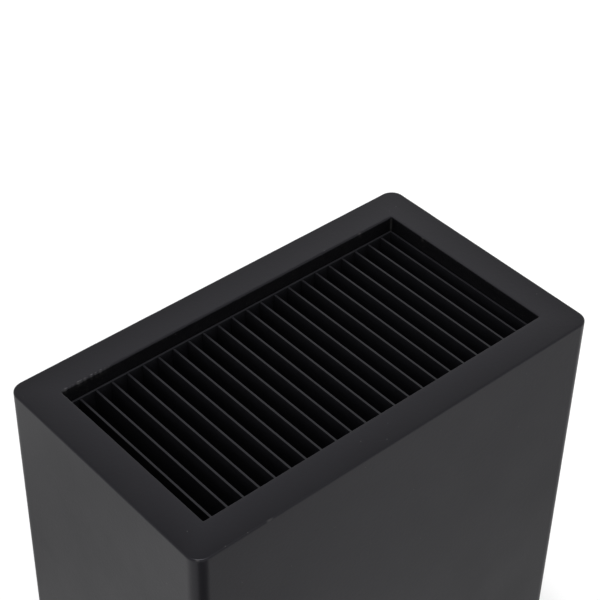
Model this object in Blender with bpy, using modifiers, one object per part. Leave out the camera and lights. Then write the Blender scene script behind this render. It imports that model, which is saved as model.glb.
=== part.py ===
"""Universal knife block: a lacquered board case with a lift-out cassette of upright slats.

The case is four mitred boards round a screwed-on base board that stands on four rubber feet.
The cassette drops into the case. Its slats stand side by side across the block, and a knife goes
into the gap between any two of them. Every plate of the cassette is cut from thin plastic sheet,
and the plates are held to each other by tabs in slots.

Metres, +Z up, X along the block's long side, Y across it. The origin is the centre of the rectangle
that the block stands on. The front is the long side that faces -Y.
"""

from math import asin, cos, pi, radians, sin

import bmesh
import bpy
from mathutils import Matrix, Vector

# ---- Driving dimensions ------------------------------------------------------------------------

# Case, outside
CASE_LENGTH = 0.220  # along X
CASE_DEPTH = 0.1265  # along Y
BLOCK_HEIGHT = 0.230  # from the table to the case's top face
BOARD = 0.016  # thickness of the four case boards
CORNER_RADIUS = 0.0065  # upright outer edges of the case
MOUTH_RADIUS = 0.0006  # upright inner corners of the case
EDGE_RADIUS = 0.0008  # outer edges round the top and the bottom of the case
MOUTH_EDGE_RADIUS = 0.0003  # edge round the mouth

# Base board, in a rabbet round the bottom of the case
BASE_BOARD = 0.010  # thickness
RABBET = 0.008  # how far the base board reaches under the case boards
BASE_CORNER_RADIUS = 0.001
BASE_EDGE_RADIUS = 0.0005

# Feet
FOOT_HEIGHT = 0.003  # gap between the table and the case
FOOT_RADIUS = 0.007
FOOT_TAPER = 0.001  # how much smaller its radius is at the table
FOOT_EDGE_RADIUS = 0.0007
FOOT_INSET = 0.023  # from the case's outer faces to a foot's centre

# Base screws, countersunk, up through the base board into the case boards
SCREW_LENGTH = 0.025
SCREW_RADIUS = 0.0015
SCREW_HEAD_RADIUS = 0.003
SCREW_HEAD_LAND = 0.0003  # upright rim of the head, below its cone
SCREW_TIP = 0.003  # length of the pointed tip
SCREW_SINK = 0.0002  # how far the head lies inside the base board
SCREW_END_INSET = 0.045  # from the case's short sides to the screws in the long boards
CROSS_WIDTH = 0.0009  # cross recess in the head
CROSS_SPAN = 0.0034
CROSS_DEPTH = 0.0013

# Cassette
CASSETTE_RECESS = 0.0075  # from the case's top face down to the cassette's rim
CASSETTE_PLAY = 0.0005  # between the cassette and the case, on each side
SHEET = 0.001  # thickness of the slats and the cassette's walls
SLAT_COUNT = 22
END_PITCH = 0.0069  # from the middle of an end wall to the middle of the nearest slat
FLOOR_SHEET = 0.002  # thickness of the cassette's floor
FLOOR_RISE = 0.003  # from the bottom of the cassette's walls to its floor
TAB = 0.012  # length of a tab
TAB_INSET = 0.040  # from the rim, and from the floor, to the middle of a side tab
FLOOR_TABS_LONG = 4  # tabs on each long side of the floor
FLOOR_TABS_SHORT = 2  # tabs on each short side of the floor

# Clearances
FIT = 0.0003  # between pieces that touch, or are fixed together

# Facets
CORNER_STEPS = 6  # in each half of a case corner
MOUTH_STEPS = 2  # in each half of a mouth corner
EDGE_STEPS = 2  # across a rounded edge
BASE_CORNER_STEPS = 4
SCREW_SIDES = 16
FOOT_SIDES = 24
FOOT_EDGE_STEPS = 2

# ---- Worked out from them ----------------------------------------------------------------------

CASE_BOTTOM = FOOT_HEIGHT
BASE_TOP = CASE_BOTTOM + BASE_BOARD
MOUTH_LENGTH = CASE_LENGTH - 2 * BOARD
MOUTH_DEPTH = CASE_DEPTH - 2 * BOARD

CASSETTE_LENGTH = MOUTH_LENGTH - 2 * CASSETTE_PLAY
CASSETTE_DEPTH = MOUTH_DEPTH - 2 * CASSETTE_PLAY
CASSETTE_BOTTOM = BASE_TOP + FIT
CASSETTE_TOP = BLOCK_HEIGHT - CASSETTE_RECESS
FLOOR_BOTTOM = CASSETTE_BOTTOM + FLOOR_RISE
FLOOR_TOP = FLOOR_BOTTOM + FLOOR_SHEET

END_WALL_X = (CASSETTE_LENGTH - SHEET) / 2
LONG_WALL_Y = (CASSETTE_DEPTH - SHEET) / 2
SLAT_PITCH = 2 * (END_WALL_X - END_PITCH) / (SLAT_COUNT - 1)
SLAT_XS = [(i - (SLAT_COUNT - 1) / 2) * SLAT_PITCH for i in range(SLAT_COUNT)]

CROSS_PLATE_DEPTH = CASSETTE_DEPTH - 2 * (SHEET + FIT)  # a slat or end wall, without its tabs
TAB_REACH = SHEET + FIT  # a tab ends flush with the outside of the wall that it goes through
SIDE_TAB_ZS = [FLOOR_TOP + TAB_INSET, CASSETTE_TOP - TAB_INSET]

MARGIN = 0.005  # how far a cutter runs past what it cuts
MERGE = 0.00001

# ---- Materials: colour, roughness, metallic ----------------------------------------------------

LACQUER = ("black_lacquer", (0.036, 0.036, 0.039), 0.55, 0.0)
BASE_PAINT = ("base_paint", (0.020, 0.020, 0.021), 0.75, 0.0)
SHEET_PLASTIC = ("sheet_plastic", (0.022, 0.022, 0.023), 0.45, 0.0)
RUBBER = ("foot_rubber", (0.018, 0.018, 0.018), 0.85, 0.0)
STEEL = ("screw_steel", (0.56, 0.56, 0.58), 0.35, 1.0)


def material(spec):
    name, colour, roughness, metallic = spec
    found = bpy.data.materials.get(name)
    if found:
        return found
    made = bpy.data.materials.new(name)
    made.use_nodes = True
    shader = made.node_tree.nodes["Principled BSDF"]
    shader.inputs["Base Color"].default_value = (*colour, 1.0)
    shader.inputs["Roughness"].default_value = roughness
    shader.inputs["Metallic"].default_value = metallic
    return made


# ---- Scene helpers -----------------------------------------------------------------------------


def clear_scene():
    for old in list(bpy.data.objects):
        bpy.data.objects.remove(old, do_unlink=True)


def new_collection(name):
    made = bpy.data.collections.new(name)
    bpy.context.scene.collection.children.link(made)
    return made


def new_object(name, data, collection, location=(0, 0, 0), rotation=(0, 0, 0)):
    made = bpy.data.objects.new(name, data)
    collection.objects.link(made)
    made.location = location
    made.rotation_euler = rotation
    return made


def finish_piece(piece, parent, look):
    """Parents a piece, gives it its material, and shades its round faces smooth."""
    piece.parent = parent
    piece.data.materials.append(material(look))
    piece.data.shade_smooth()
    piece.data.set_sharp_from_angle(angle=radians(30))
    return piece


def as_cutter(piece):
    piece.hide_render = True
    piece.display_type = "WIRE"
    return piece


def cut(piece, cutter):
    modifier = piece.modifiers.new("cut_" + cutter.name, "BOOLEAN")
    modifier.operation = "DIFFERENCE"
    modifier.object = cutter
    modifier.solver = "EXACT"


def round_edges(piece, radius, steps, by_weight=False):
    modifier = piece.modifiers.new("rounded_edges", "BEVEL")
    modifier.width = radius
    modifier.segments = steps
    modifier.limit_method = "WEIGHT" if by_weight else "ANGLE"
    modifier.angle_limit = radians(30)


# ---- Shapes ------------------------------------------------------------------------------------


def arc(centre, radius, start, end, steps):
    """Points along an arc, from the start angle to the end angle."""
    angles = [start + (end - start) * i / steps for i in range(steps + 1)]
    return [(centre[0] + radius * cos(a), centre[1] + radius * sin(a)) for a in angles]


def rounded_rectangle(length, depth, radius, steps):
    x, y = length / 2 - radius, depth / 2 - radius
    points = []
    for quarter, (cx, cy) in enumerate(((x, y), (-x, y), (-x, -y), (x, -y))):
        points += arc((cx, cy), radius, quarter * pi / 2, (quarter + 1) * pi / 2, steps)
    return points


def rectangle(centre, width, height):
    (cx, cy), w, h = centre, width / 2, height / 2
    return [(cx - w, cy - h), (cx + w, cy - h), (cx + w, cy + h), (cx - w, cy + h)]


def tabbed_edge(start, end, tab_centres, tab_length, reach):
    """An edge of an anticlockwise outline, from start up to but without end, with tabs standing out.

    tab_centres are distances from start. A negative reach makes notches instead of tabs.
    """
    start, end = Vector(start), Vector(end)
    along = (end - start).normalized()
    outward = Vector((along.y, -along.x)) * reach
    points = [start]
    for centre in sorted(tab_centres):
        near = start + along * (centre - tab_length / 2)
        far = start + along * (centre + tab_length / 2)
        points += [near, near + outward, far + outward, far]
    return [tuple(p) for p in points]


def flat_plate(name, loops, thickness, collection, location=(0, 0, 0), rotation=(0, 0, 0)):
    """A plate of even thickness: the first loop is its outline and the others are holes in it."""
    curve = bpy.data.curves.new(name, "CURVE")
    curve.dimensions = "2D"
    curve.fill_mode = "BOTH"
    curve.extrude = thickness / 2
    for loop in loops:
        spline = curve.splines.new("POLY")
        spline.points.add(len(loop) - 1)
        for point, (x, y) in zip(spline.points, loop):
            point.co = (x, y, 0, 1)
        spline.use_cyclic_u = True
    drawn = new_object(name + "_curve", curve, collection, location, rotation)
    return meshed(drawn, name, collection)


def meshed(drawn, name, collection):
    """The curve as a mesh object with welded caps. The curve is removed."""
    bpy.context.view_layer.update()
    graph = bpy.context.evaluated_depsgraph_get()
    mesh = bpy.data.meshes.new_from_object(drawn.evaluated_get(graph))
    mesh.name = name
    shape = bmesh.new()
    shape.from_mesh(mesh)
    bmesh.ops.remove_doubles(shape, verts=shape.verts, dist=MERGE)
    bmesh.ops.dissolve_limit(
        shape, angle_limit=radians(1), verts=shape.verts, edges=shape.edges
    )
    bmesh.ops.recalc_face_normals(shape, faces=shape.faces)
    shape.to_mesh(mesh)
    shape.free()
    made = new_object(name, mesh, collection)
    made.matrix_world = drawn.matrix_world
    curve = drawn.data
    bpy.data.objects.remove(drawn, do_unlink=True)
    bpy.data.curves.remove(curve)
    return made


def turned(name, profile, sides, collection, location=(0, 0, 0)):
    """A solid of revolution about its Z axis. The profile is (radius, height) from its top down."""
    mesh = bpy.data.meshes.new(name)
    points = [(radius, 0, height) for radius, height in profile]
    mesh.from_pydata(points, [(i, i + 1) for i in range(len(points) - 1)], [])
    made = new_object(name, mesh, collection, location)
    modifier = made.modifiers.new("turned", "SCREW")
    modifier.axis = "Z"
    modifier.steps = modifier.render_steps = sides
    modifier.use_merge_vertices = True
    modifier.merge_threshold = MERGE
    return made


def box(name, size, collection, location=(0, 0, 0), rotation=(0, 0, 0)):
    mesh = bpy.data.meshes.new(name)
    shape = bmesh.new()
    bmesh.ops.create_cube(shape, size=1, matrix=Matrix.Diagonal((*size, 1)))
    shape.to_mesh(mesh)
    shape.free()
    return new_object(name, mesh, collection, location, rotation)


# ---- Case --------------------------------------------------------------------------------------


def board_outline(length, distance):
    """A case board seen from above, with its outer face at y = -distance.

    Both ends are mitred at 45 degrees, half a glue line back from the mitre plane, which goes
    through the case's corner and halves the corner's outer and inner rounding.
    """
    outer = (length / 2 - CORNER_RADIUS, -distance + CORNER_RADIUS)
    outer_end = -pi / 4 - asin(FIT / 2 / CORNER_RADIUS)
    inner = (length / 2 - BOARD - MOUTH_RADIUS, -distance + BOARD + MOUTH_RADIUS)
    inner_end = -pi / 4 - asin(FIT / 2 / MOUTH_RADIUS)
    right = arc(outer, CORNER_RADIUS, -pi / 2, outer_end, CORNER_STEPS)
    right += arc(inner, MOUTH_RADIUS, inner_end, -pi / 2, MOUTH_STEPS)
    left = [(-x, y) for x, y in reversed(right)]
    return right + left


def weigh_rims(piece, half_height, distance):
    """Marks a board's rims for rounding: in full outside, less at the mouth, not at the mitres."""
    middle_y = -distance + BOARD / 2
    shape = bmesh.new()
    shape.from_mesh(piece.data)
    weight = shape.edges.layers.float.new("bevel_weight_edge")
    for edge in shape.edges:
        a, b = (v.co for v in edge.verts)
        level = abs(a.z - b.z) < MERGE and abs(abs(a.z) - half_height) < MERGE
        if level and max(a.y, b.y) < middle_y:
            edge[weight] = 1.0
        elif level and min(a.y, b.y) > middle_y:
            edge[weight] = MOUTH_EDGE_RADIUS / EDGE_RADIUS
    shape.to_mesh(piece.data)
    shape.free()


def case_board(name, length, distance, turn, parent, rooms, collection):
    """One mitred board of the case, with the rabbet and the screw holes cut from its foot."""
    height = BLOCK_HEIGHT - CASE_BOTTOM
    middle = (BLOCK_HEIGHT + CASE_BOTTOM) / 2
    outline = board_outline(length, distance)
    piece = flat_plate(name, [outline], height, collection, (0, 0, middle), (0, 0, turn))
    weigh_rims(piece, height / 2, distance)
    round_edges(piece, EDGE_RADIUS, EDGE_STEPS, by_weight=True)
    for room in rooms:
        cut(piece, room)
    return finish_piece(piece, parent, LACQUER)


def screw_places():
    """Where the base screws go up into the case boards: two in each long one, one in each short one."""
    x = CASE_LENGTH / 2 - BOARD + RABBET / 2
    y = CASE_DEPTH / 2 - BOARD + RABBET / 2
    along = CASE_LENGTH / 2 - SCREW_END_INSET
    return {
        "front_panel": [(-along, -y), (along, -y)],
        "back_panel": [(-along, y), (along, y)],
        "left_panel": [(-x, 0)],
        "right_panel": [(x, 0)],
    }


def screw_profile(room=0.0):
    """(radius, height) of a countersunk screw with its head down, or of the hole with room round it.

    Height 0 is the underside of the head. The hole runs on below it, past the base board.
    """
    cone = SCREW_HEAD_RADIUS - SCREW_RADIUS
    head, shank = SCREW_HEAD_RADIUS + room, SCREW_RADIUS + room
    lowest = -MARGIN if room else 0.0
    return [
        (0, SCREW_LENGTH + room),
        (shank, SCREW_LENGTH - SCREW_TIP + room),
        (shank, SCREW_HEAD_LAND + cone),
        (head, SCREW_HEAD_LAND),
        (head, lowest),
        (0, lowest),
    ]


def base_screw(name, place, parent, parts, cutters):
    x, y = place
    seat = CASE_BOTTOM + SCREW_SINK
    piece = turned(name, screw_profile(), SCREW_SIDES, parts, (x, y, seat))
    size = (CROSS_SPAN, CROSS_WIDTH, 2 * CROSS_DEPTH)
    for arm, turn in (("along", 0), ("across", pi / 2)):
        slot = box(f"{name}_recess_{arm}", size, cutters, (x, y, seat), (0, 0, turn))
        cut(piece, as_cutter(slot))
    return finish_piece(piece, parent, STEEL)


def base_board(parent, holes, collection):
    length = MOUTH_LENGTH + 2 * (RABBET - FIT)
    depth = MOUTH_DEPTH + 2 * (RABBET - FIT)
    outline = rounded_rectangle(length, depth, BASE_CORNER_RADIUS, BASE_CORNER_STEPS)
    middle = (0, 0, CASE_BOTTOM + BASE_BOARD / 2)
    piece = flat_plate("base_board", [outline], BASE_BOARD, collection, middle)
    round_edges(piece, BASE_EDGE_RADIUS, EDGE_STEPS)
    for hole in holes:
        cut(piece, hole)
    return finish_piece(piece, parent, BASE_PAINT)


def foot(name, x, y, parent, collection):
    """A rubber foot: a low button that narrows to the table, stuck to the underside of the base."""
    top = FOOT_HEIGHT - FIT
    bottom_radius = FOOT_RADIUS - FOOT_TAPER
    corner = (bottom_radius - FOOT_EDGE_RADIUS, FOOT_EDGE_RADIUS)
    edge = arc(corner, FOOT_EDGE_RADIUS, 0, -pi / 2, FOOT_EDGE_STEPS)
    profile = [(0, top), (FOOT_RADIUS, top), *edge, (0, 0)]
    piece = turned(name, profile, FOOT_SIDES, collection, (x, y, 0))
    return finish_piece(piece, parent, RUBBER)


def build_case(parent, parts, cutters):
    length, depth = MOUTH_LENGTH + 2 * RABBET, MOUTH_DEPTH + 2 * RABBET
    height = BASE_BOARD + FIT + MARGIN
    middle = (0, 0, BASE_TOP + FIT - height / 2)
    rabbet = as_cutter(box("rabbet_room", (length, depth, height), cutters, middle))

    holes = {}
    seat = CASE_BOTTOM + SCREW_SINK
    for board, places in screw_places().items():
        holes[board] = []
        for x, y in places:
            name = f"{board}_screw_room_{len(holes[board]) + 1}"
            room = turned(name, screw_profile(FIT), SCREW_SIDES, cutters, (x, y, seat))
            holes[board].append(as_cutter(room))

    boards = (
        ("front_panel", CASE_LENGTH, CASE_DEPTH / 2, 0),
        ("right_panel", CASE_DEPTH, CASE_LENGTH / 2, pi / 2),
        ("back_panel", CASE_LENGTH, CASE_DEPTH / 2, pi),
        ("left_panel", CASE_DEPTH, CASE_LENGTH / 2, -pi / 2),
    )
    for name, length, distance, turn in boards:
        case_board(name, length, distance, turn, parent, [rabbet, *holes[name]], parts)

    base_board(parent, [room for rooms in holes.values() for room in rooms], parts)

    places = [place for found in screw_places().values() for place in found]
    for number, place in enumerate(places, 1):
        base_screw(f"base_screw_{number}", place, parent, parts, cutters)

    for side, sy in (("front", -1), ("back", 1)):
        for end, sx in (("left", -1), ("right", 1)):
            x = sx * (CASE_LENGTH / 2 - FOOT_INSET)
            y = sy * (CASE_DEPTH / 2 - FOOT_INSET)
            foot(f"foot_{side}_{end}", x, y, parent, parts)


# ---- Cassette ----------------------------------------------------------------------------------

ACROSS = (pi / 2, 0, pi / 2)  # turns a flat outline's x to +Y and its y to +Z
ALONG = (pi / 2, 0, 0)  # turns a flat outline's x to +X and its y to +Z


def upright_outline(half, bottom, tab_length, reach):
    """An upright plate's outline, with a tab, or a notch, on both sides at each tab height."""
    up = [z - bottom for z in SIDE_TAB_ZS]
    down = [CASSETTE_TOP - z for z in SIDE_TAB_ZS]
    top = CASSETTE_TOP
    right = tabbed_edge((half, bottom), (half, top), up, tab_length, reach)
    left = tabbed_edge((-half, top), (-half, bottom), down, tab_length, reach)
    return [*right, (half, top), *left, (-half, bottom)]


def spread(count, length):
    """The middles of count equal shares of a length, measured from its centre."""
    return [((i + 0.5) / count - 0.5) * length for i in range(count)]


def floor_slots(count, length):
    """Holes in a wall, in the wall's own flat frame, for the floor's tabs."""
    middle = FLOOR_BOTTOM + FLOOR_SHEET / 2
    return [
        rectangle((x, middle), TAB + 2 * FIT, FLOOR_SHEET + 2 * FIT)
        for x in spread(count, length)
    ]


def cross_plate(name, x, bottom, slots, parent, collection):
    """A slat or an end wall: an upright plate across the cassette, tabbed into the long walls."""
    outline = upright_outline(CROSS_PLATE_DEPTH / 2, bottom, TAB, TAB_REACH)
    piece = flat_plate(name, [outline, *slots], SHEET, collection, (x, 0, 0), ACROSS)
    return finish_piece(piece, parent, SHEET_PLASTIC)


def long_wall(name, side, parent, collection):
    """A long wall: a slot for each tab of the slats, and notches for the end walls' tabs."""
    slot_length = TAB + 2 * FIT
    notch = -(SHEET + FIT)
    outline = upright_outline(CASSETTE_LENGTH / 2, CASSETTE_BOTTOM, slot_length, notch)
    slots = floor_slots(FLOOR_TABS_LONG, CASSETTE_LENGTH)
    for x in SLAT_XS:
        slots += [rectangle((x, z), SHEET + 2 * FIT, slot_length) for z in SIDE_TAB_ZS]
    place = (0, side * LONG_WALL_Y, 0)
    piece = flat_plate(name, [outline, *slots], SHEET, collection, place, ALONG)
    return finish_piece(piece, parent, SHEET_PLASTIC)


def cassette_floor(parent, collection):
    """The plate that knife tips meet. Its tabs go through the bottoms of all four walls."""
    x = CASSETTE_LENGTH / 2 - TAB_REACH
    y = CASSETTE_DEPTH / 2 - TAB_REACH
    long_tabs = [x + at for at in spread(FLOOR_TABS_LONG, CASSETTE_LENGTH)]
    short_tabs = [y + at for at in spread(FLOOR_TABS_SHORT, CROSS_PLATE_DEPTH)]
    corners = [(-x, -y), (x, -y), (x, y), (-x, y)]
    outline = []
    for i, start in enumerate(corners):
        tabs = short_tabs if i % 2 else long_tabs
        outline += tabbed_edge(start, corners[(i + 1) % 4], tabs, TAB, TAB_REACH)
    middle = (0, 0, FLOOR_BOTTOM + FLOOR_SHEET / 2)
    piece = flat_plate("cassette_floor", [outline], FLOOR_SHEET, collection, middle)
    return finish_piece(piece, parent, SHEET_PLASTIC)


def build_cassette(parent, parts):
    long_wall("cassette_front_wall", -1, parent, parts)
    long_wall("cassette_back_wall", 1, parent, parts)
    end_slots = floor_slots(FLOOR_TABS_SHORT, CROSS_PLATE_DEPTH)
    for end, side in (("left", -1), ("right", 1)):
        name = f"cassette_{end}_wall"
        cross_plate(name, side * END_WALL_X, CASSETTE_BOTTOM, end_slots, parent, parts)
    cassette_floor(parent, parts)
    for number, x in enumerate(SLAT_XS, 1):
        cross_plate(f"slat_{number:02d}", x, FLOOR_TOP + FIT, [], parent, parts)


# ---- The whole block ---------------------------------------------------------------------------


def main():
    clear_scene()
    parts = new_collection("knife_block")
    cutters = new_collection("cutters")
    case = new_object("case", None, parts)
    cassette = new_object("cassette", None, parts)  # on the axis that it lifts out along
    build_case(case, parts, cutters)
    build_cassette(cassette, parts)


main()
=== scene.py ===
from math import cos, pi, radians, sin

import bmesh
import bpy
from mathutils import Matrix, Vector, noise


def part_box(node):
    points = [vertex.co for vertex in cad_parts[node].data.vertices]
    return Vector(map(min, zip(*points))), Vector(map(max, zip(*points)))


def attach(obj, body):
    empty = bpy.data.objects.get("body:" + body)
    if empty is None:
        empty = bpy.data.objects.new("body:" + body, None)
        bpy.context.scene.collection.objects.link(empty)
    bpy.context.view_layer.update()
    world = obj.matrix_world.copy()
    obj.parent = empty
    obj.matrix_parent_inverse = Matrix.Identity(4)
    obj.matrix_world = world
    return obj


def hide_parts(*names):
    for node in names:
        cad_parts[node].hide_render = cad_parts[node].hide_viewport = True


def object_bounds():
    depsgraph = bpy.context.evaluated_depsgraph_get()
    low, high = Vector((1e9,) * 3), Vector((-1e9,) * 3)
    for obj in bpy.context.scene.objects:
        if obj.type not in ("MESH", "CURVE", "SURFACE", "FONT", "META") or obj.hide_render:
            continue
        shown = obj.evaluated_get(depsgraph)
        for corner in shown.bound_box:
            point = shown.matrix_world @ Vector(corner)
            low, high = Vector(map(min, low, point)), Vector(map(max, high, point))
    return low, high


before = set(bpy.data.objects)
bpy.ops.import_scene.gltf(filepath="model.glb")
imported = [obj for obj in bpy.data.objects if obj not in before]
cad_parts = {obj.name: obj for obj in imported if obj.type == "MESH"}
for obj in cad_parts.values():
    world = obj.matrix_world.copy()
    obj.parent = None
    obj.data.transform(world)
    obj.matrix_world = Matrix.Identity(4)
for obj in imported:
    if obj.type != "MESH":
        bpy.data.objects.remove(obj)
cad_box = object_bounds()

# ---- Sizes, from the frame where it holds them ---------------------------------------------------

MM = 0.001

LOW, HIGH = cad_box
TOP = HIGH.z
CASE_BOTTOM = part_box("front_panel")[0].z

# Finer sizes of the case, as in the CAD model
GAP = 0.3 * MM  # between pieces that touch
BOARD = 16 * MM
CORNER_RADIUS = 6.5 * MM
MOUTH_RADIUS = 0.6 * MM
EDGE_RADIUS = 0.8 * MM
MOUTH_EDGE_RADIUS = 0.3 * MM
BACK_MOUTH_EDGE_RADIUS = 0.8 * MM  # sanded rounder than the rest, which the CAD model leaves out
RABBET = 8 * MM
RABBET_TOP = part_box("base_board")[1].z + GAP
MOUTH_X = HIGH.x - BOARD
MOUTH_Y = HIGH.y - BOARD

# How finely the boards are divided
STATION = 0.5 * MM
CORNER_STEPS = 14
EDGE_STEPS = 6
MOUTH_EDGE_STEPS = 5

# The lacquer is uneven where it runs over an edge
EDGE_WAVE = 0.12
EDGE_WAVE_LENGTH = 9 * MM
MOUTH_WAVE = 0.35
MOUTH_WAVE_LENGTH = 4 * MM
EDGE_ZONE = 1.5 * MM  # how far from an edge its unevenness reaches

# Pale spots, each with a place seen from above and half a width: wear, a painted highlight, and a
# pale line. Nicks take some of the mouth's edge away. Where it is frayed, many small ones stand side
# by side. Scuffs only make the outer edge paler, and the one on the near corner is a painted highlight.
NICK_DEPTH = 0.25 * MM
NICKS = (
    (Vector((-MOUTH_X + 2.2 * MM, MOUTH_Y)), 1.0 * MM),
    (Vector((-MOUTH_X + 8.6 * MM, MOUTH_Y)), 0.9 * MM),
    (Vector((MOUTH_X - 20.0 * MM, MOUTH_Y)), 1.0 * MM),
    (Vector((MOUTH_X, MOUTH_Y - 21.0 * MM)), 1.0 * MM),
)
FRAYS = ((Vector((-MOUTH_X + 9.0 * MM, MOUTH_Y)), 22.0 * MM),)
FRAY_LENGTH = 0.9 * MM
FRAY_DEPTH = 0.6 * MM
FRAY_SHARE = 0.3  # of full depth, before its unevenness
FRAY_WAVE = 1.5
FLECK_WEAR = 0.5  # how pale a nick or a fray is
WALL_FLECK = 0.7  # of that, how much reaches the wall below it
SEAMS = ((Vector((MOUTH_X, MOUTH_Y)), 0.8 * MM),)  # a pale line painted down an inner corner
SEAM_PALENESS = 0.5
SCUFF_AND_HIGHLIGHT_PALENESS = 0.6
SCUFFS_AND_HIGHLIGHT = (
    (Vector((LOW.x + 36.0 * MM, LOW.y)), 1.7 * MM),
    # a painted highlight on the near corner's edge
    (Vector((LOW.x + 1.9 * MM, LOW.y + 1.9 * MM)), 0.9 * MM),
)

RIM_TOLERANCE = 0.01 * MM  # below the top, within which a point is on the rim
MITRE_TOLERANCE = 0.001 * MM  # from a mitre plane, within which a point is on it
MITRE_LEAN = 0.5  # a normal that leans more than this to the other board is the mitre's own


# ---- Camera ------------------------------------------------------------------------------------

LENS = 101.84  # on a 36 mm sensor
CAMERA_FROM_CORNER = Vector((-0.2526, -0.3380, 0.4815))  # from the near corner of the top
CAMERA_FORWARD = Vector((0.51072, 0.57260, -0.64132))
CAMERA_ROLL = 1.22  # degrees


def make_camera():
    data = bpy.data.cameras.new("camera")
    data.sensor_width = 36
    data.lens = LENS
    camera = bpy.data.objects.new("camera", data)
    bpy.context.scene.collection.objects.link(camera)
    place = Vector((LOW.x, LOW.y, TOP)) + CAMERA_FROM_CORNER
    upright = CAMERA_FORWARD.to_track_quat("-Z", "Y").to_matrix().to_4x4()
    roll = Matrix.Rotation(radians(CAMERA_ROLL), 4, "Z")
    camera.matrix_world = Matrix.Translation(place) @ upright @ roll
    bpy.context.scene.camera = camera


# ---- Node helpers ------------------------------------------------------------------------------


def set_range(made, start, end, low, high):
    """Makes a Map Range node carry start to end over to low to high."""
    for name, number in (("From Min", start), ("From Max", end), ("To Min", low), ("To Max", high)):
        made.inputs[name].default_value = number


class Look:
    """A Principled material and short ways to wire its nodes. Sizes are in metres."""

    def __init__(self, name):
        self.material = bpy.data.materials.new(name)
        self.material.use_nodes = True
        self.tree = self.material.node_tree
        self.shader = self.tree.nodes["Principled BSDF"]
        self.place = self.node("ShaderNodeTexCoord").outputs["Object"]

    def node(self, kind, **settings):
        made = self.tree.nodes.new(kind)
        for name, value in settings.items():
            setattr(made, name, value)
        return made

    def wire(self, value, socket):
        """Links an output to a socket, or sets the socket to a number or a colour."""
        if isinstance(value, bpy.types.NodeSocket):
            self.tree.links.new(value, socket)
        elif isinstance(value, tuple):
            socket.default_value = (*value, 1.0)
        else:
            socket.default_value = value

    def set(self, **values):
        """Sets shader inputs, named with underscores for spaces."""
        for name, value in values.items():
            socket = self.shader.inputs[name.replace("_", " ")]
            self.wire(value, socket)

    def math(self, operation, first, second):
        made = self.node("ShaderNodeMath", operation=operation)
        self.wire(first, made.inputs[0])
        self.wire(second, made.inputs[1])
        return made.outputs[0]

    def stretched(self, x, y, z):
        """Object coordinates squeezed on some axes, so that a pattern on them runs long there."""
        made = self.node("ShaderNodeMapping")
        self.wire(self.place, made.inputs["Vector"])
        made.inputs["Scale"].default_value = (x, y, z)
        return made.outputs["Vector"]

    def noise(self, size, detail=2.0, place=None):
        """Noise from 0 to 1 whose features are about as wide as size."""
        made = self.node("ShaderNodeTexNoise")
        self.wire(place or self.place, made.inputs["Vector"])
        made.inputs["Scale"].default_value = 1 / size
        made.inputs["Detail"].default_value = detail
        return made.outputs["Fac"]

    def specks(self, spacing, radius):
        """1 inside sparse round specks, and 0 elsewhere."""
        made = self.node("ShaderNodeTexVoronoi")
        self.wire(self.place, made.inputs["Vector"])
        made.inputs["Scale"].default_value = 1 / spacing
        return self.math("LESS_THAN", made.outputs["Distance"], radius / spacing)

    def spread(self, value, low, high, start=0.3, end=0.7):
        """Carries start to end over to low to high. Noise lies mostly between 0.3 and 0.7."""
        made = self.node("ShaderNodeMapRange")
        self.wire(value, made.inputs["Value"])
        set_range(made, start, end, low, high)
        return made.outputs["Result"]

    def mix(self, factor, first, second):
        """Mixes two colours. The node's colour sockets are found by number, since names repeat."""
        made = self.node("ShaderNodeMix", data_type="RGBA")
        self.wire(factor, made.inputs[0])
        self.wire(first, made.inputs[6])
        self.wire(second, made.inputs[7])
        return made.outputs[2]

    def vector(self, operation, first, second=None):
        """A vector sum, or its length or distance where the operation gives a number."""
        made = self.node("ShaderNodeVectorMath", operation=operation)
        self.wire(first, made.inputs[0])
        if isinstance(second, tuple):
            made.inputs[1].default_value = second
        number = operation in ("LENGTH", "DISTANCE")
        return made.outputs["Value" if number else "Vector"]

    def attribute(self, name):
        return self.node("ShaderNodeAttribute", attribute_name=name).outputs["Fac"]

    def bump(self, *layers):
        """Bumps the surface by each (height, depth) in turn."""
        normal = None
        for height, depth in layers:
            made = self.node("ShaderNodeBump")
            made.inputs["Distance"].default_value = depth
            self.wire(height, made.inputs["Height"])
            if normal:
                self.wire(normal, made.inputs["Normal"])
            normal = made.outputs["Normal"]
        self.set(Normal=normal)


# ---- Materials ---------------------------------------------------------------------------------

# The gloss that the lacquer and the sheet plastic share
SATIN_IOR = 1.31
SATIN_TINT = (0.93, 0.92, 1.0)


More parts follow.
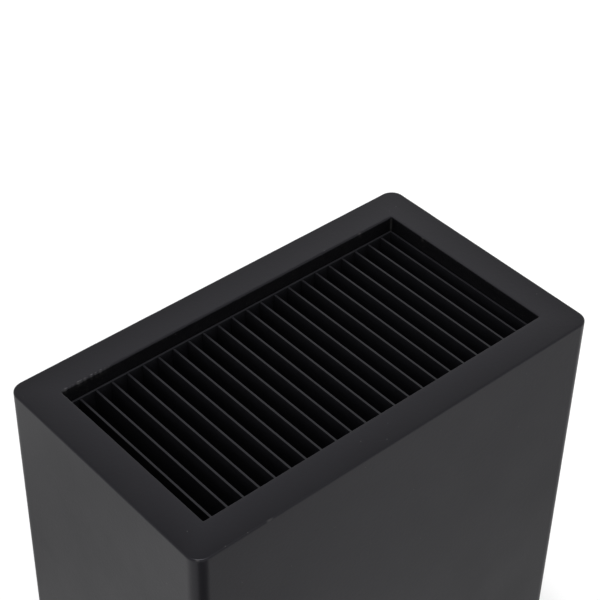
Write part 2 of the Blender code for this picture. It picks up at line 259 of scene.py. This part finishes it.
def case_lacquer():
    """Matt black lacquer: clouded, with an orange peel, fine grain, specks, and paler worn spots.

    A painted sheen makes the rim paler towards the mouth. Inside the case the lacquer is thin, rough
    and crumbly, and painted darker as shade.
    """
    look = Look("case_lacquer")
    cloud = look.noise(24 * MM, 3)
    peel = look.noise(1.8 * MM, 2)
    grain = look.noise(0.55 * MM, 3)
    specks = look.specks(7 * MM, 0.22 * MM)
    inside = look.attribute("inside")
    crumbs = look.math("MULTIPLY", inside, look.noise(0.9 * MM, 4))
    lumps = look.math("MULTIPLY", inside, look.specks(2.6 * MM, 0.20 * MM))
    # painted sheen: the rim runs from darker at its outer edge to paler at the mouth, and points off the
    # rim take the middle tone
    rim_sheen = look.mix(look.attribute("rim_sheen"), (0.0010, 0.0008, 0.0019), (0.0090, 0.0087, 0.0109))
    colour = look.mix(look.spread(cloud, 0, 0.3), rim_sheen, (0.0034, 0.0033, 0.0045))
    # painted shade: the walls inside the case are painted darker
    colour = look.mix(look.math("MULTIPLY", inside, 0.7), colour, (0.0016, 0.0016, 0.0018))
    colour = look.mix(look.spread(crumbs, 0, 1, 0.55, 0.7), colour, (0.0070, 0.0068, 0.0064))
    colour = look.mix(lumps, colour, (0.030, 0.029, 0.027))
    colour = look.mix(specks, colour, (0.055, 0.055, 0.055))
    # pale wear and, at the near corner, a painted highlight
    colour = look.mix(look.attribute("wear_and_highlight"), colour, (0.045, 0.044, 0.043))
    rough = look.math("ADD", look.spread(cloud, 0.33, 0.37), look.math("MULTIPLY", inside, 0.10))
    look.set(Base_Color=colour, Roughness=rough, IOR=SATIN_IOR, Specular_Tint=SATIN_TINT)
    look.bump((peel, 0.030 * MM), (grain, 0.022 * MM), (specks, 0.02 * MM), (crumbs, 0.09 * MM))
    return look.material


def cassette_plastic():
    """Satin black sheet plastic with faint rolling marks up and down the sheet."""
    look = Look("cassette_plastic")
    cloud = look.noise(9 * MM, 3)
    marks = look.noise(0.35 * MM, 2, look.stretched(1, 1, 0.04))
    grain = look.noise(0.15 * MM, 2)
    dust = look.specks(9 * MM, 0.18 * MM)
    colour = look.mix(cloud, (0.0086, 0.0085, 0.0102), (0.0118, 0.0117, 0.0138))
    colour = look.mix(dust, colour, (0.05, 0.05, 0.05))
    rough = look.spread(cloud, 0.32, 0.38)
    look.set(Base_Color=colour, Roughness=rough, IOR=SATIN_IOR, Specular_Tint=SATIN_TINT)
    look.bump((marks, 0.004 * MM), (grain, 0.004 * MM))
    return look.material


def base_paint():
    """Black paint, thin enough over the board for its fibres to show."""
    look = Look("base_paint")
    fibres = look.noise(0.5 * MM, 4, look.stretched(0.15, 1, 1))
    cloud = look.noise(16 * MM, 3)
    colour = look.mix(fibres, (0.010, 0.010, 0.0105), (0.020, 0.0195, 0.019))
    rough = look.spread(cloud, 0.60, 0.75)
    look.set(Base_Color=colour, Roughness=rough, IOR=1.40)
    look.bump((cloud, 0.05 * MM), (fibres, 0.04 * MM))
    return look.material


def foot_rubber():
    """Dull black rubber with a moulded grain, paler where it has picked up dust."""
    look = Look("foot_rubber")
    dust = look.noise(2.2 * MM, 4)
    grain = look.noise(0.25 * MM, 3)
    dusty = look.spread(dust, 0, 1, 0.4, 0.75)
    colour = look.mix(dusty, (0.011, 0.011, 0.011), (0.026, 0.026, 0.025))
    rough = look.spread(dust, 0.70, 0.88)
    look.set(Base_Color=colour, Roughness=rough)
    look.bump((grain, 0.03 * MM))
    return look.material


def screw_steel():
    """Zinc-plated steel, a little mottled, with fine rings from turning."""
    look = Look("screw_steel")
    mottle = look.noise(0.9 * MM, 4)
    rings = look.noise(0.12 * MM, 2, look.stretched(0.2, 0.2, 1))
    colour = look.mix(mottle, (0.48, 0.48, 0.50), (0.62, 0.62, 0.63))
    rough = look.spread(mottle, 0.24, 0.42)
    look.set(Base_Color=colour, Roughness=rough, Metallic=1.0)
    look.bump((rings, 0.004 * MM), (mottle, 0.006 * MM))
    return look.material


# ---- Shapes ------------------------------------------------------------------------------------

SHARP_ANGLE = radians(35)
POLE = 0.02 * MM  # radius of the small face that closes a turned shape


def arc(centre, radius, start, end, steps):
    """Points along an arc, from the start angle to the end angle."""
    angles = [start + (end - start) * i / steps for i in range(steps + 1)]
    return [(centre[0] + radius * cos(a), centre[1] + radius * sin(a)) for a in angles]


def new_piece(name, shape, material, turn=Matrix()):
    """An object of a bmesh, which is freed, smooth but for its sharp edges."""
    bmesh.ops.recalc_face_normals(shape, faces=shape.faces)
    mesh = bpy.data.meshes.new(name)
    shape.to_mesh(mesh)
    shape.free()
    mesh.transform(turn)
    mesh.shade_smooth()
    mesh.set_sharp_from_angle(angle=SHARP_ANGLE)
    mesh.materials.append(material)
    piece = bpy.data.objects.new(name, mesh)
    bpy.context.scene.collection.objects.link(piece)
    return piece


def tube_of_rings(rings):
    """A closed surface through rings of points, each ring joined to the next, with both ends capped."""
    shape = bmesh.new()
    rows = [[shape.verts.new(p) for p in ring] for ring in rings]
    for a, b in zip(rows, rows[1:]):
        for k in range(len(a)):
            j = (k + 1) % len(a)
            shape.faces.new((a[k], a[j], b[j], b[k]))
    shape.faces.new(rows[0])
    shape.faces.new(rows[-1])
    return shape


def turned_rings(profile, sides, ridge=None):
    """Rings of a turned shape from its (radius, height) profile. ridge(height, angle) adds to a radius."""
    rings = []
    for radius, height in profile:
        ring = []
        for i in range(sides):
            a = 2 * pi * i / sides
            r = radius + (ridge(height, a) if ridge else 0)
            ring.append((r * cos(a), r * sin(a), height))
        rings.append(ring)
    return rings


# ---- Case boards -------------------------------------------------------------------------------


def worn(place, spots):
    """How worn an edge is at a place seen from above, from 0 to 1."""
    deepest = 0.0
    for centre, half_width in spots:
        away = (place - centre).length / half_width
        deepest = max(deepest, 1 - away * away)
    return deepest


def wave(place, length):
    """Slow unevenness along an edge, from -1 to 1."""
    return noise.noise(Vector((place.x, place.y, 0)) / length)


def section(edge, mouth_edge, scuff_and_highlight, fleck, seam):
    """A board's section, as (depth from its outer face, height, paleness): up outside, over, down inside.

    edge and mouth_edge are the radii of its two top edges. scuff_and_highlight, fleck and seam are how
    pale its outer edge, its mouth's edge and its inner wall are: wear, with a painted highlight at the
    near corner's outer edge, and a pale line down an inner corner. A line at EDGE_ZONE beside each
    uneven edge keeps the flat faces flat.
    """
    points = arc((EDGE_RADIUS, CASE_BOTTOM + EDGE_RADIUS), EDGE_RADIUS, 1.5 * pi, pi, EDGE_STEPS)
    points += [(0, TOP - EDGE_ZONE)]
    worn_edge = arc((edge, TOP - edge), edge, pi, pi / 2, EDGE_STEPS)
    worn_mouth = arc((BOARD - mouth_edge, TOP - mouth_edge), mouth_edge, pi / 2, 0, MOUTH_EDGE_STEPS)
    inside = [(BOARD, TOP - 2 * EDGE_ZONE), (BOARD, RABBET_TOP)]
    rabbet = [(BOARD - RABBET, RABBET_TOP), (BOARD - RABBET, CASE_BOTTOM)]
    upper = [(*p, scuff_and_highlight * sin(pi * i / EDGE_STEPS)) for i, p in enumerate(worn_edge)]
    upper += [(EDGE_ZONE, TOP, 0.0), (BOARD - EDGE_ZONE, TOP, 0.0)]
    upper += [(*p, fleck * sin(pi * i / MOUTH_EDGE_STEPS)) for i, p in enumerate(worn_mouth)]
    upper += [(BOARD, TOP - EDGE_ZONE, max(WALL_FLECK * fleck, seam))]
    upper += [(*p, seam) for p in inside]
    return [(*p, 0.0) for p in points] + upper + [(*p, 0.0) for p in rabbet]


def stations(length, distance):
    """Where the section stands along a board whose outer face is at y = -distance.

    Each is (outer point, inner point, inward direction at both), seen from above. The first and the
    last lie on the mitre planes. The rest go round half of each corner, and along the board.
    """
    outer_centre = Vector((length / 2 - CORNER_RADIUS, -distance + CORNER_RADIUS))
    inner_centre = Vector((length / 2 - BOARD - MOUTH_RADIUS, -distance + BOARD + MOUTH_RADIUS))
    right = []
    for i in range(CORNER_STEPS + 1):
        angle = -pi / 4 - pi / 4 * i / CORNER_STEPS
        out = Vector((cos(angle), sin(angle)))
        right.append((outer_centre + out * CORNER_RADIUS, inner_centre + out * MOUTH_RADIUS, -out))
    count = round(2 * inner_centre.x / STATION)
    middle = []
    for i in range(1, count):
        share = 1 - 2 * i / count
        outer = Vector((outer_centre.x * share, -distance))
        inner = Vector((inner_centre.x * share, -distance + BOARD))
        middle.append((outer, inner, Vector((0, 1))))
    flip = Vector((-1, 1))
    left = [tuple(v * flip for v in station) for station in reversed(right)]
    return right + middle + left


def lacquered_board(node, length, distance, turn, radius, material):
    """A mitred board, swept as one section along its stations, with its edges uneven and nicked.

    Its points hold how pale they are from wear and painted highlight, whether they are inside the
    case, and how far across the rim they are, for the rim's painted sheen.
    """
    turned = Matrix.Rotation(turn, 2)
    rings = []
    wear_and_highlight = []
    inside = []
    rim_sheen = []
    for outer, inner, inward in stations(length, distance):
        here, mouth = turned @ outer, turned @ inner
        nick = worn(mouth, NICKS)
        flake = min(1.0, max(0.0, FRAY_SHARE + FRAY_WAVE * wave(mouth, FRAY_LENGTH)))
        fray = worn(mouth, FRAYS) * flake
        edge = EDGE_RADIUS * (1 + EDGE_WAVE * wave(here, EDGE_WAVE_LENGTH))
        mouth_edge = radius * (1 + MOUTH_WAVE * wave(mouth, MOUTH_WAVE_LENGTH))
        mouth_edge += NICK_DEPTH * nick + FRAY_DEPTH * fray
        seam = SEAM_PALENESS * worn(mouth, SEAMS)
        scuff_and_highlight = SCUFF_AND_HIGHLIGHT_PALENESS * worn(here, SCUFFS_AND_HIGHLIGHT)
        fleck = FLECK_WEAR * max(nick, fray)
        ring = []
        for depth, z, share in section(edge, mouth_edge, scuff_and_highlight, fleck, seam):
            if depth < BOARD / 3:
                p = outer + inward * depth
            elif depth > BOARD * 2 / 3:
                p = inner - inward * (BOARD - depth)
            else:
                p = outer.lerp(inner, depth / BOARD)
            ring.append((p.x, p.y, z))
            wear_and_highlight.append(share)
            inside.append(float(depth == BOARD))
            # how far across the rim a point is, for the painted sheen; the middle tone off the rim
            rim_sheen.append(depth / BOARD if z > TOP - RIM_TOLERANCE else 0.5)
        rings.append(ring)
    shape = tube_of_rings(rings)
    piece = new_piece("lacquered_" + node, shape, material, Matrix.Rotation(turn, 4, "Z"))
    for name, values in (("wear_and_highlight", wear_and_highlight), ("inside", inside), ("rim_sheen", rim_sheen)):
        made = piece.data.attributes.new(name, "FLOAT", "POINT")
        made.data.foreach_set("value", values)
    keep_mitre_normals(piece.data)
    return piece


def keep_mitre_normals(mesh):
    """Makes the shading run on over a mitre: normals on it lose what leans towards the other board."""
    normals = [Vector(n.vector) for n in mesh.corner_normals]
    for polygon in mesh.polygons:
        for corner in polygon.loop_indices:
            p = mesh.vertices[mesh.loops[corner].vertex_index].co
            if abs((HIGH.x - abs(p.x)) - (HIGH.y - abs(p.y))) > MITRE_TOLERANCE:
                continue
            across = Vector((p.x / abs(p.x), -p.y / abs(p.y), 0)).normalized()
            normal = normals[corner]
            if abs(normal.dot(across)) < MITRE_LEAN:
                normals[corner] = (normal - across * normal.dot(across)).normalized()
    mesh.normals_split_custom_set(normals)


def make_case(material):
    boards = (
        ("front_panel", HIGH.x * 2, HIGH.y, 0, MOUTH_EDGE_RADIUS),
        ("right_panel", HIGH.y * 2, HIGH.x, pi / 2, MOUTH_EDGE_RADIUS),
        ("back_panel", HIGH.x * 2, HIGH.y, pi, BACK_MOUTH_EDGE_RADIUS),
        ("left_panel", HIGH.y * 2, HIGH.x, -pi / 2, MOUTH_EDGE_RADIUS),
    )
    for node, length, distance, turn, radius in boards:
        piece = lacquered_board(node, length, distance, turn, radius, material)
        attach(piece, "case")
        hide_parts(node)


# ---- Feet and screws ---------------------------------------------------------------------------

FOOT_SIDES = 72
FOOT_STEPS = 8  # across a rounding
FOOT_INSET = 1.0 * MM  # how much smaller the face that it stands on is
FOOT_SOFT = 0.7 * MM  # rounding of that face's edge
FOOT_CHAMFER = 0.15 * MM
FOOT_GROOVE = 0.35 * MM  # depth of the moulded ring groove in a foot's face
FOOT_GROOVE_PLACE = 0.62  # as a share of the face's radius

SCREW_SIDES = 40
SCREW_CORE = 1.05 * MM
SCREW_CREST = 1.5 * MM
THREAD_PITCH = 1.35 * MM
THREAD_STEPS = 9  # rows of points in one turn
THREAD_BOTTOM = 5.0 * MM  # from the underside of the head
THREAD_END = 0.2 * MM  # from the tip
THREAD_SLOPE = 4  # how steeply its ridge rises, so that it takes up half of the pitch
SHANK_TAPER = 0.4 * MM  # along the screw, from the shank down to the core
TIP_LENGTH = 3.5 * MM
HEAD_LAND = 0.3 * MM
HEAD_CHAMFER = 0.1 * MM
RECESS_SPAN = 3.4 * MM
RECESS_WIDTH = 0.9 * MM
RECESS_DEPTH = 1.4 * MM
RECESS_TAPER = 0.55  # its size at the bottom, as a share
SCREW_TURN = 0.7  # radians from each screw's recess to the next one's


def make_feet(material):
    """Low rubber buttons with a ring groove in the face that they stand on."""
    for node in [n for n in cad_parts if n.startswith("foot")]:
        low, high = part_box(node)
        radius = (high.x - low.x) / 2
        height = high.z - low.z
        face = radius - FOOT_INSET
        profile = [(POLE, height), (radius - FOOT_CHAMFER, height), (radius, height - FOOT_CHAMFER)]
        profile += arc((face - FOOT_SOFT, FOOT_SOFT), FOOT_SOFT, 0, -pi / 2, FOOT_STEPS)
        profile += arc((FOOT_GROOVE_PLACE * face, 0), FOOT_GROOVE, 0, pi, FOOT_STEPS)
        profile += [(POLE, 0)]
        piece = new_piece("rubber_" + node, tube_of_rings(turned_rings(profile, FOOT_SIDES)), material)
        piece.location = ((low.x + high.x) / 2, (low.y + high.y) / 2, low.z)
        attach(piece, "case")
        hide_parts(node)


def screw_mesh(length, head_radius, material):
    """A countersunk wood screw standing on its head, with a real thread and a cross recess."""
    neck = HEAD_LAND + head_radius - SCREW_CREST
    thread_top = length - THREAD_END
    count = int((thread_top - THREAD_BOTTOM) / THREAD_PITCH * THREAD_STEPS)

    def ridge(height, angle):
        if height <= THREAD_BOTTOM:
            return 0.0
        turn = (height - THREAD_BOTTOM) / THREAD_PITCH - angle / (2 * pi)
        sharp = max(0.0, 1 - abs(turn % 1 - 0.5) * THREAD_SLOPE)
        growth = min(1.0, (height - THREAD_BOTTOM) / THREAD_PITCH)
        fade = min(1.0, (length - height) / TIP_LENGTH)
        return (SCREW_CREST - SCREW_CORE) * sharp * growth * fade

    profile = [(POLE, 0), (head_radius - HEAD_CHAMFER, 0)]
    profile += [(head_radius, HEAD_CHAMFER), (head_radius, HEAD_LAND)]
    profile += [(SCREW_CREST, neck), (SCREW_CREST, THREAD_BOTTOM - SHANK_TAPER)]
    profile += [(SCREW_CORE, THREAD_BOTTOM)]
    for i in range(1, count + 1):
        height = THREAD_BOTTOM + (thread_top - THREAD_BOTTOM) * i / count
        profile.append((SCREW_CORE * min(1.0, (length - height) / TIP_LENGTH), height))
    profile.append((POLE, length))
    blank = tube_of_rings(turned_rings(profile, SCREW_SIDES, ridge))
    screw = new_piece("screw_blank", blank, material)
    cutters = []
    for turn in (0, pi / 2):
        shape = bmesh.new()
        size = (RECESS_SPAN, RECESS_WIDTH, 2 * RECESS_DEPTH, 1)
        place = Matrix.Rotation(turn, 4, "Z") @ Matrix.Diagonal(size)
        bmesh.ops.create_cube(shape, size=1, matrix=place)
        for vert in shape.verts:
            if vert.co.z > 0:
                vert.co.xy *= RECESS_TAPER
        cutters.append(new_piece("recess", shape, material))
        cut = screw.modifiers.new("recess", "BOOLEAN")
        cut.object = cutters[-1]
    mesh = bpy.data.meshes.new_from_object(screw.evaluated_get(bpy.context.evaluated_depsgraph_get()))
    for scrap in [screw, *cutters]:
        bpy.data.objects.remove(scrap)
    mesh.shade_smooth()
    mesh.set_sharp_from_angle(angle=SHARP_ANGLE)
    return mesh


def make_screws(material):
    """One mesh for all the screws, each turned a little further than the last."""
    nodes = sorted(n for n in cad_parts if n.startswith("base_screw"))
    low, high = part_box(nodes[0])
    mesh = screw_mesh(high.z - low.z, (high.x - low.x) / 2, material)
    for number, node in enumerate(nodes):
        low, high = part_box(node)
        piece = bpy.data.objects.new("threaded_" + node, mesh)
        bpy.context.scene.collection.objects.link(piece)
        piece.location = ((low.x + high.x) / 2, (low.y + high.y) / 2, low.z)
        piece.rotation_euler.z = SCREW_TURN * number
        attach(piece, "case")
        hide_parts(node)


# ---- Pieces kept from the CAD model ------------------------------------------------------------

SHEET_EDGE = 0.12 * MM  # rounding of the cassette's cut edges
SHEET_EDGE_STEPS = 3
BEVEL_ANGLE = radians(30)
WELD = 0.01 * MM


def dress(node, material, edge=0.0):
    """Gives a CAD node its material, and softens its edges."""
    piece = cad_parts[node]
    piece.data.materials.clear()
    piece.data.materials.append(material)
    weld = piece.modifiers.new("weld", "WELD")
    weld.merge_threshold = WELD
    if edge:
        bevel = piece.modifiers.new("edges", "BEVEL")
        bevel.width = edge
        bevel.segments = SHEET_EDGE_STEPS
        bevel.limit_method = "ANGLE"
        bevel.angle_limit = BEVEL_ANGLE


# ---- Stage -------------------------------------------------------------------------------------

SQUARE = ((-1, -1), (1, -1), (1, 1), (-1, 1))
FLOOR_REACH = 6.0
FLOOR_TONE = 0.9
FLOOR_GAP = 0.1 * MM  # keeps the feet's faces off the floor's
CARD_REACH = 0.45
CARD_LIFT = 0.5 * MM
CARD_TONE = 0.55  # painted shade beside the block
# Soft spots on the card, painted shadows and one painted pool of light, set by comparing with the
# photo: place, radius, and the tone's share in the middle, which is below 1 in the dark ones and
# above it in the light one
PAINTED_SPOTS = (
    ((-0.165, 0.195, 0), 0.19, 0.45),
    ((0.23, -0.12, 0), 0.18, 0.58),
    ((0.36, -0.22, 0), 0.16, 0.40),
    ((0.03, -0.28, 0), 0.15, 0.60),
    ((-0.27, 0.10, 0), 0.14, 1.5),
)
WALLS = 1.11
CEILING = 0.37
FADE = (0.44, 0.89)  # sines of the heights between which the one fades into the other
SOFTBOX_HEIGHT = 4.0
SOFTBOX_SIZE = 1.2
SOFTBOX_POWER = 95
FLAG_REACH = (0.11, 0.30)  # from the near corner
FLAG_SWEEP = (-50, 22)  # degrees, round the corner from the way the front faces


def new_plate(name, corners):
    """A flat face with these corners."""
    shape = bmesh.new()
    shape.faces.new([shape.verts.new(corner) for corner in corners])
    mesh = bpy.data.meshes.new(name)
    shape.to_mesh(mesh)
    shape.free()
    made = bpy.data.objects.new(name, mesh)
    bpy.context.scene.collection.objects.link(made)
    return made


def make_floor():
    floor = new_plate("floor", [(x * FLOOR_REACH, y * FLOOR_REACH, -FLOOR_GAP) for x, y in SQUARE])
    look = Look("floor")
    look.set(Base_Color=(FLOOR_TONE,) * 3, Roughness=0.9)
    floor.data.materials.append(look.material)


def make_flag():
    """A dark card on the floor off the near corner, seen only in reflections.

    A black object's rounded corner needs something dark to reflect, or it shows no edge.
    """
    corner = Vector((LOW.x, LOW.y, 2 * CARD_LIFT))
    near, far = FLAG_REACH
    start, end = (radians(a - 90) for a in FLAG_SWEEP)
    ends = ((near, start), (far, start), (far, (start + end) / 2), (far, end), (near, end))
    flag = new_plate("flag", [corner + Vector((cos(a), sin(a), 0)) * r for r, a in ends])
    look = Look("flag")
    look.set(Base_Color=(0.01, 0.01, 0.01), Roughness=1.0)
    flag.data.materials.append(look.material)
    only_in_reflections(flag)


def make_card():
    """A grey card round the block, seen only in reflections, so that its sides mirror no glare.

    Its tone is painted shade: darker beside the block, and as pale as the floor at its rim, with soft
    spots of painted shadow and one of painted light on it.
    """
    card = new_plate("card", [(x * CARD_REACH, y * CARD_REACH, CARD_LIFT) for x, y in SQUARE])
    look = Look("card")
    beyond = look.vector("SUBTRACT", look.vector("ABSOLUTE", look.place), (HIGH.x, HIGH.y, 0))
    gap = look.vector("LENGTH", look.vector("MAXIMUM", beyond, (0, 0, 0)))
    tone = look.spread(gap, CARD_TONE, FLOOR_TONE, 0, CARD_REACH - HIGH.x)
    for place, radius, share in PAINTED_SPOTS:
        away = look.vector("DISTANCE", look.place, place)
        tone = look.math("MULTIPLY", tone, look.spread(away, share, 1, 0, radius))
    look.set(Base_Color=tone, Roughness=1.0)
    card.data.materials.append(look.material)
    only_in_reflections(card)


def only_in_reflections(piece):
    """Hides a stage card from everything but mirroring."""
    piece.visible_camera = False
    piece.visible_diffuse = False
    piece.visible_shadow = False


def make_softbox():
    """One square light straight above the block."""
    data = bpy.data.lights.new("softbox", "AREA")
    data.shape = "SQUARE"
    data.size = SOFTBOX_SIZE
    data.energy = SOFTBOX_POWER
    light = bpy.data.objects.new("softbox", data)
    light.location = (0, 0, SOFTBOX_HEIGHT)
    bpy.context.scene.collection.objects.link(light)


def make_world():
    """An even studio whose walls are brighter than its ceiling."""
    world = bpy.data.worlds.new("studio")
    world.use_nodes = True
    background = world.node_tree.nodes["Background"]
    background.inputs["Color"].default_value = (1, 1, 1, 1)
    nodes, links = world.node_tree.nodes, world.node_tree.links
    upwards = nodes.new("ShaderNodeSeparateXYZ")
    links.new(nodes.new("ShaderNodeTexCoord").outputs["Generated"], upwards.inputs[0])
    fade = nodes.new("ShaderNodeMapRange")
    links.new(upwards.outputs["Z"], fade.inputs["Value"])
    set_range(fade, *FADE, WALLS, CEILING)
    links.new(fade.outputs["Result"], background.inputs["Strength"])
    bpy.context.scene.world = world


# ---- Everything --------------------------------------------------------------------------------

make_camera()
make_floor()
make_card()
make_flag()
make_softbox()
make_world()
bpy.context.scene.view_settings.view_transform = "Standard"

make_case(case_lacquer())
make_feet(foot_rubber())
make_screws(screw_steel())
dress("base_board", base_paint())
plastic = cassette_plastic()
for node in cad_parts:
    if node.startswith(("slat", "cassette")):
        dress(node, plastic, SHEET_EDGE)
